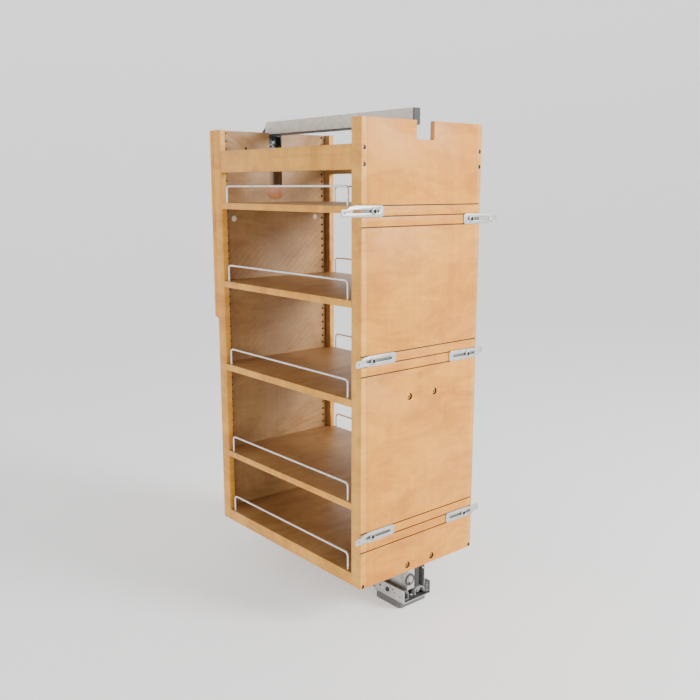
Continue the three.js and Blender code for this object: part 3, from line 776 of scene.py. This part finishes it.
def make_screws():
    """The four screws through the front panel, and those in the front stiles and the feet."""
    for board in ("shelf", "bottom"):
        for hand in SIDES:
            node = f"{board}_screw_{hand}"
            low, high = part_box(node)
            head = (high.x - low.x) / 2
            seat = Vector(((low.x + high.x) / 2, low.y + FRONT_HEAD_HEIGHT, (low.z + high.z) / 2))
            screw(f"{node}_detailed", PANTRY, "screw_steel", seat, (0, -1, 0), head, FRONT_HEAD_HEIGHT,
                  2 * MM, high.y - seat.y, 0.5, (node,), "yellow_zinc")
    for hand, side in SIDES.items():
        low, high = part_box(f"front_stile_{hand}")
        outer = low.x if side < 0 else high.x
        for tag, up in STILE_SCREWS.items():
            seat = (outer - side * STILE_SCREW_INSET, low.y + STILE_SCREW_SEAT, low.z + up)
            screw(f"stile_screw_{tag}_{hand}", PANTRY, "screw_steel", seat, (0, -1, 0), 3.5 * MM, 1.6 * MM,
                  1.4 * MM, 3 * MM, 0.5)
    for end in ("front", "rear"):
        low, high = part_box(f"foot_bracket_{end}")
        for tag, y in (("near", low.y + FLOOR_SCREW_INSET), ("far", high.y - FLOOR_SCREW_INSET)):
            screw(f"floor_screw_{end}_{tag}", CABINET, "screw_steel", (0.0, y, low.z + FOOT_PLATE), (0, 0, 1),
                  5.5 * MM, 2.8 * MM, 2 * MM, 14 * MM, 0.5)


# ---------------------------------------------------------------- wire guard rails
WIRE_BEND, BEND_STEPS = 9 * MM, 8


def make_wires():
    """Bent wires, each up, along its shelf and down again."""
    for level in LEVELS:
        for hand in SIDES:
            node = f"wire_rail_{level}_{hand}"
            low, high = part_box(node)
            radius = (high.x - low.x) / 2
            x, top = (low.x + high.x) / 2, high.z - radius - WIRE_BEND
            front, back = low.y + radius, high.y - radius
            points = [(x, front, low.z)]
            points += [(x, y, z) for y, z in arc((front + WIRE_BEND, top), WIRE_BEND, 180, 90, BEND_STEPS)]
            points += [(x, y, z) for y, z in arc((back - WIRE_BEND, top), WIRE_BEND, 90, 0, BEND_STEPS)]
            points.append((x, back, low.z))
            wire = paint(sweep_tube(f"{node}_detailed", points, radius), "wire")
            finished(smooth(wire, 50), PANTRY, "chrome_wire", node)


# ---------------------------------------------------------------- door brackets
TEETH_PITCH, SLOT_HALF, SLOT_FROM, SLOT_TO = 3.2 * MM, 3.15 * MM, 28.8 * MM, 99.2 * MM
TEETH_DEPTHS = 0.45 * MM, 1.15 * MM                  # low and high steps, in turn
TEETH_BACK, TEETH_THICKNESS = 1.3 * MM, 1 * MM       # behind the bracket's front, and through its plate
SEAT_HALF, SEAT_LAP = 4.6 * MM, 2 * MM
CLAMP_SEAT, CLAMP_HEAD = 2.6 * MM, 2.55 * MM


def make_teeth(tag, name, edge, outer, middle, front):
    """One toothed edge of a bracket's slot, lower or upper as edge is -1 or 1, in dark steel that also paints
    the slot's shade.
    """
    side = SIDES[tag.split("_")[1]]
    outline = [(outer - side * SLOT_FROM, middle + edge * SLOT_HALF)]
    at, tooth = SLOT_FROM, 0
    while at < SLOT_TO - TEETH_PITCH / 2:
        depth = TEETH_DEPTHS[tooth % 2]
        for along in (at, at + TEETH_PITCH / 2):
            outline.append((outer - side * along, middle + edge * (SLOT_HALF - depth)))
        at += TEETH_PITCH / 2
        tooth += 1
    outline.append((outer - side * at, middle + edge * SLOT_HALF))
    mesh = bmesh.new()
    prism(mesh, outline, "Y", front + TEETH_BACK, front + TEETH_BACK + TEETH_THICKNESS)
    teeth = paint(new_object(f"slot_teeth_{name}_{tag}", mesh), "dark_steel")
    finished(smooth(teeth, 20), f"door_bracket_{tag}", "zinc_plate")


def make_slot_seat(tag, outer, middle):
    """The thin plate on the panel that shows through a bracket's slot, dark so that it also paints the slot's
    shade.
    """
    hand = tag.split("_")[1]
    side = SIDES[hand]
    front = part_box("front_panel")[0].y
    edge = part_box(f"front_stile_{hand}")[0 if side < 0 else 1].x
    ends = sorted((edge - side * SEAT_LAP, outer - side * (SLOT_TO + 1.5 * MM)))
    mesh = bmesh.new()
    block(mesh, (ends[0], front - 0.24 * MM, middle - SEAT_HALF),
          (ends[1], front - 0.04 * MM, middle + SEAT_HALF))
    seat_plate = paint(new_object(f"slot_seat_{tag}", mesh), "seat")
    finished(smooth(applied(bevel(seat_plate, 0.05 * MM))), PANTRY, "zinc_plate")


def make_brackets():
    for tag in BRACKET_TAGS:
        low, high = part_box(f"door_bracket_{tag}")
        middle = (low.z + high.z) / 2
        outer = low.x if tag.endswith("left") else high.x
        stand_in(f"door_bracket_{tag}", ("zinc",), None, 0.45 * MM)
        for edge, name in ((-1, "lower"), (1, "upper")):
            make_teeth(tag, name, edge, outer, middle, low.y)
        make_slot_seat(tag, outer, middle)
        node = f"clamp_screw_{tag}"
        low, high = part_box(node)
        head = (high.x - low.x) / 2
        seat = Vector(((low.x + high.x) / 2, low.y + CLAMP_SEAT, (low.z + high.z) / 2))
        screw(f"{node}_detailed", PANTRY, "screw_steel", seat, (0, -1, 0), head, CLAMP_HEAD, 1.8 * MM,
              high.y - seat.y, 0.66, (node,), "zinc", True)


# ---------------------------------------------------------------- floor slides and carriage
FOOT_HOLES = ((45.1, 25.3, 1.5), (36.6, 23.0, 1.9), (30.5, 17.2, 1.5), (80, 18, 3), (14, 12, 1.5))
FOOT_WALL = 3 * MM
FOOT_BOLT = {"y": 54.5 * MM, "z": 16.5 * MM}
FOOT_BOLT_PROFILE = [(0, 1.2 * MM), (2.6 * MM, 1.2 * MM), (2.9 * MM, 2.6 * MM), (5.0 * MM, 2.4 * MM),
                     (5.8 * MM, 1.4 * MM), (5.8 * MM, 0.1 * MM), (0, 0.1 * MM)]
CARRIAGE_HOLES_Y, CARRIAGE_HOLE_RADIUS = (5, 60, 160, 260, 360, 460), 2.6 * MM
CARRIAGE_STAGGER, CARRIAGE_HOLES_DOWN, CARRIAGE_WALL = 25, 14 * MM, 4 * MM
# slots 1 and 2 are painted shade on a channel's floor and inward walls
CHANNEL_SHADE_KEYS = ("zinc", "dark_steel", "slide")
CHANNEL_FLOOR = 5 * MM                               # its floor lies lower than this


def make_feet():
    """The two steel feet on their pads, with holes along FOOT_HOLES (along, up, radius) and a bolt."""
    for end in ("front", "rear"):
        soften(f"floor_pad_{end}", "grey_plastic", 1.2 * MM)
        low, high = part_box(f"foot_bracket_{end}")
        holes = bmesh.new()
        for y, z, radius in FOOT_HOLES:
            bar(holes, radius * MM, (low.x - MM, low.y + y * MM, low.z + z * MM),
                (low.x + FOOT_WALL, low.y + y * MM, low.z + z * MM), 20)

        def rule(face, top=low.z + CHANNEL_FLOOR):
            """Painted shade: dark steel on the floor of the channel, darker grey steel on the inward faces of
            its walls.
            """
            if face.normal.z > ALONG and face.center.z < top:
                return 1
            return 2 if face.normal.x * face.center.x < 0 and abs(face.normal.x) > ALONG else 0
        # the holes' walls take the near-black recess paint as painted shade
        stand_in(f"foot_bracket_{end}", CHANNEL_SHADE_KEYS, cutter("foot_holes", "recess", holes), 0.6 * MM, rule)
        bolt = bmesh.new()
        seat = (low.x, low.y + FOOT_BOLT["y"], low.z + FOOT_BOLT["z"])
        revolve(bolt, FOOT_BOLT_PROFILE, seat, (-1, 0, 0))
        head = paint(new_object(f"foot_bolt_{end}", bolt), "black_metal")
        finished(smooth(head), CABINET, "black_metal")


def make_slides():
    """The floor slides, the carriage that they bear and the pieces in front of it."""
    for hand in SIDES:
        for member, key in (("outer", "dark_steel"), ("middle", "slide"), ("inner", "slide")):
            soften(f"bottom_slide_{member}_{hand}", key, 0.45 * MM)
    low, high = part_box("carriage")
    z = high.z - CARRIAGE_HOLES_DOWN
    holes = bmesh.new()
    for along in CARRIAGE_HOLES_Y:
        y = low.y + along * MM
        bar(holes, CARRIAGE_HOLE_RADIUS, (high.x - CARRIAGE_WALL, y, z), (high.x + MM, y, z))
        y = low.y + (along + CARRIAGE_STAGGER) * MM
        bar(holes, CARRIAGE_HOLE_RADIUS, (low.x - MM, y, z), (low.x + CARRIAGE_WALL, y, z))
    centre = (low.x + high.x) / 2

    def rule(face):
        """Painted shade: dark steel on the floor of the carriage, darker grey steel on the inward faces of
        its walls.
        """
        across = face.center.x - centre
        if face.normal.z > ALONG and face.center.z < low.z + CHANNEL_FLOOR:
            return 1
        return 2 if across * face.normal.x < -ALONG * abs(across) else 0
    # the holes' walls take the near-black recess paint as painted shade
    stand_in("carriage", CHANNEL_SHADE_KEYS, cutter("carriage_holes", "recess", holes), 0.5 * MM, rule)
    soften("stop_plate", "zinc", 0.4 * MM)
    soften("catch_block", "black_plastic", 1.0 * MM)


DIAL_FACE = 2 * MM                                   # behind the front of its hub
HUB_RADIUS, DISC, RIM = 5.6 * MM, 0.70, 0.71         # disc and ring as parts of the whole radius
DIAL_HOLE = {"radius": 2.9 * MM, "x": -3 * MM, "z": -6.6 * MM}


def make_dial():
    """The adjuster: a plated disc on a black ring whose black also paints the contact shadow round it, with a
    bright hub and a hole beside it painted near-black as shade.
    """
    low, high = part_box("adjuster_dial")
    radius = (high.x - low.x) / 2
    x, z = (low.x + high.x) / 2, (low.z + high.z) / 2
    face = low.y + DIAL_FACE
    mesh = bmesh.new()
    revolve(mesh, [
        (0, 2 * MM), (4.2 * MM, 2 * MM), (5.4 * MM, 1.3 * MM), (5.5 * MM, 0), (0.66 * radius, -0.1 * MM),
        (DISC * radius, -0.7 * MM), (DISC * radius, -1.6 * MM), (2 * MM, -1.6 * MM), (2 * MM, -17 * MM),
        (0, -18 * MM),
    ], (x, face, z), (0, -1, 0), 40)
    dial = paint(new_object("adjuster_dial_detailed", mesh), "zinc", "slide")
    for polygon in dial.data.polygons:
        away = math.hypot(polygon.center.x - x, polygon.center.z - z)
        polygon.material_index = 1 if away > HUB_RADIUS else 0
    hole = bmesh.new()
    hole_x, hole_z = x + DIAL_HOLE["x"], z + DIAL_HOLE["z"]
    bar(hole, DIAL_HOLE["radius"], (hole_x, face - 3 * MM, hole_z), (hole_x, face + 1.2 * MM, hole_z))
    # the hole's faces take the near-black recess paint as painted shade
    combine(dial, cutter("dial_hole", "recess", hole), "DIFFERENCE")
    finished(smooth(dial), PANTRY, "screw_steel", "adjuster_dial")
    ring = bmesh.new()
    revolve(ring, [
        (RIM * radius, -0.4 * MM), (0.93 * radius, -0.2 * MM), (radius, -1.0 * MM), (radius, -2.6 * MM),
        (0.9 * radius, -3 * MM), (RIM * radius, -3 * MM), (RIM * radius, -0.4 * MM),
    ], (x, face, z), (0, -1, 0), 40)
    bmesh.ops.remove_doubles(ring, verts=ring.verts, dist=SAME_POINT)
    # a black plastic ring whose black also stands for the contact shadow round the disc
    ring_and_shadow = paint(new_object("adjuster_ring", ring), "black_plastic")
    finished(smooth(ring_and_shadow), PANTRY, "black_plastic")


LATCH = {"left": -6 * MM, "right": 25 * MM, "top": 43 * MM, "foot": 26.5 * MM, "wall": 1.5 * MM}
LATCH_BENDS = 8 * MM, 12 * MM                        # radii of its left and right corners
LATCH_FROM, LATCH_TO = -3 * MM, 9 * MM               # its depth, from the carriage's front
ROLLER = {"x": 11 * MM, "z": 35.5 * MM, "back": 8 * MM}
ROLLER_PROFILE = [(0, 7 * MM), (2.2 * MM, 7 * MM), (2.4 * MM, 6.2 * MM), (4.4 * MM, 6 * MM),
                  (4.8 * MM, 5.4 * MM), (4.8 * MM, 0.4 * MM), (0, 0)]


def latch_outline(inset):
    """Points (x, z) of the loop, drawn in by an inset, from its left foot over to its right one."""
    left, right, top = LATCH["left"] + inset, LATCH["right"] - inset, LATCH["top"] - inset
    near, far = LATCH_BENDS
    return [(left, LATCH["foot"]), *arc((left + near, top - near), near, 180, 90, 8),
            *arc((right - far, top - far), far, 90, 0, 10), (right, LATCH["foot"])]


def make_latch():
    """A bent steel loop in the mouth of the carriage, under the catch block, and its roller."""
    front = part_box("carriage")[0].y
    mesh = bmesh.new()
    outline = latch_outline(0.0) + latch_outline(LATCH["wall"])[::-1]
    prism(mesh, outline, "Y", front + LATCH_FROM, front + LATCH_TO)
    loop = paint(new_object("latch_loop", mesh), "zinc")
    finished(smooth(applied(bevel(loop, 0.3 * MM))), PANTRY, "zinc_plate")
    mesh = bmesh.new()
    revolve(mesh, ROLLER_PROFILE, (ROLLER["x"], front + ROLLER["back"], ROLLER["z"]), (0, -1, 0))
    block(mesh, (8 * MM, front + 5.5 * MM, LATCH["foot"]), (14 * MM, front + 7.5 * MM, 36 * MM))
    roller = paint(new_object("latch_roller", mesh), "slide")
    finished(smooth(roller), PANTRY, "slide_steel")


# ---------------------------------------------------------------- top slide
BAR_CORNER = 9 * MM                                  # radius of the rounded rear top corner
BRACKET_HOLES = ((4, 9, 3.2), (9, 24, 2.4), (-3, 26, 2.2))
BRACKET_SCREWS = (("high", -11 * MM, 7.5 * MM), ("low", 3 * MM, 17.5 * MM))
BRACKET_SCREW_SEAT = 15.9 * MM                       # behind the rear panel's inner face
BRACKET_HOLE_FROM, BRACKET_HOLE_TO = 14 * MM, 22 * MM
SLOT_SIDE = 19 * MM                                  # the right side of the rear slot
WING = {"front": 0.6 * MM, "back": 16.3 * MM, "bottom": 31 * MM, "top": 1.5 * MM}


def make_top_slide():
    """The top slide's bar and members, with its rounded rear end, cap and stop."""
    low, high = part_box("top_slide_outer")
    corner = [(high.y + MM, high.z + MM), (high.y - BAR_CORNER, high.z + MM)]
    corner += list(arc((high.y - BAR_CORNER, high.z - BAR_CORNER), BAR_CORNER, 90, 0, 8))
    corner.append((high.y + MM, high.z - BAR_CORNER))
    round_end = bmesh.new()
    prism(round_end, corner, "X", low.x - MM, high.x + MM)
    stand_in("top_slide_outer", ("bar",), cutter("round_end", "bar", round_end), 0.9 * MM)
    soften("top_slide_middle", "slide", 0.3 * MM)
    soften("top_slide_inner", "dark_steel", 0.3 * MM)
    soften("top_slide_cap", "black_plastic", 0.8 * MM)
    soften("rear_stop", "black_plastic", 0.5 * MM)


def make_slot_bracket():
    """The bracket in the rear slot, with holes (across, down, radius), a side wing and two screws."""
    low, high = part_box("slot_bracket")
    rear_low, rear_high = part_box("rear_panel")
    middle, y = (low.x + high.x) / 2, rear_low.y
    holes = bmesh.new()
    for x, down, radius in BRACKET_HOLES:
        bar(holes, radius * MM, (middle + x * MM, y + BRACKET_HOLE_FROM, high.z - down * MM),
            (middle + x * MM, y + BRACKET_HOLE_TO, high.z - down * MM))
    # the holes' walls take the near-black recess paint as painted shade
    stand_in("slot_bracket", ("black_metal",), cutter("bracket_holes", "recess", holes), 0.6 * MM)
    mesh = bmesh.new()
    block(mesh, (SLOT_SIDE - 2 * MM, y + WING["front"], rear_high.z - WING["bottom"]),
          (SLOT_SIDE - 0.4 * MM, y + WING["back"], rear_high.z - WING["top"]))
    wing = paint(new_object("slot_bracket_wing", mesh), "black_metal")
    finished(smooth(applied(bevel(wing, 0.3 * MM))), PANTRY, "black_metal")
    for tag, across, down in BRACKET_SCREWS:
        place = (middle + across, y + BRACKET_SCREW_SEAT, high.z - down)
        screw(f"bracket_screw_{tag}", PANTRY, "black_metal", place, (0, -1, 0), 3.6 * MM, 1.8 * MM,
              1.6 * MM, 2.6 * MM)


make_camera()
make_light()
make_floor()
make_ends()
make_shelves()
make_pins()
make_rear_details()
make_screws()
make_wires()
make_brackets()
make_feet()
make_slides()
make_dial()
make_latch()
make_top_slide()
make_slot_bracket()
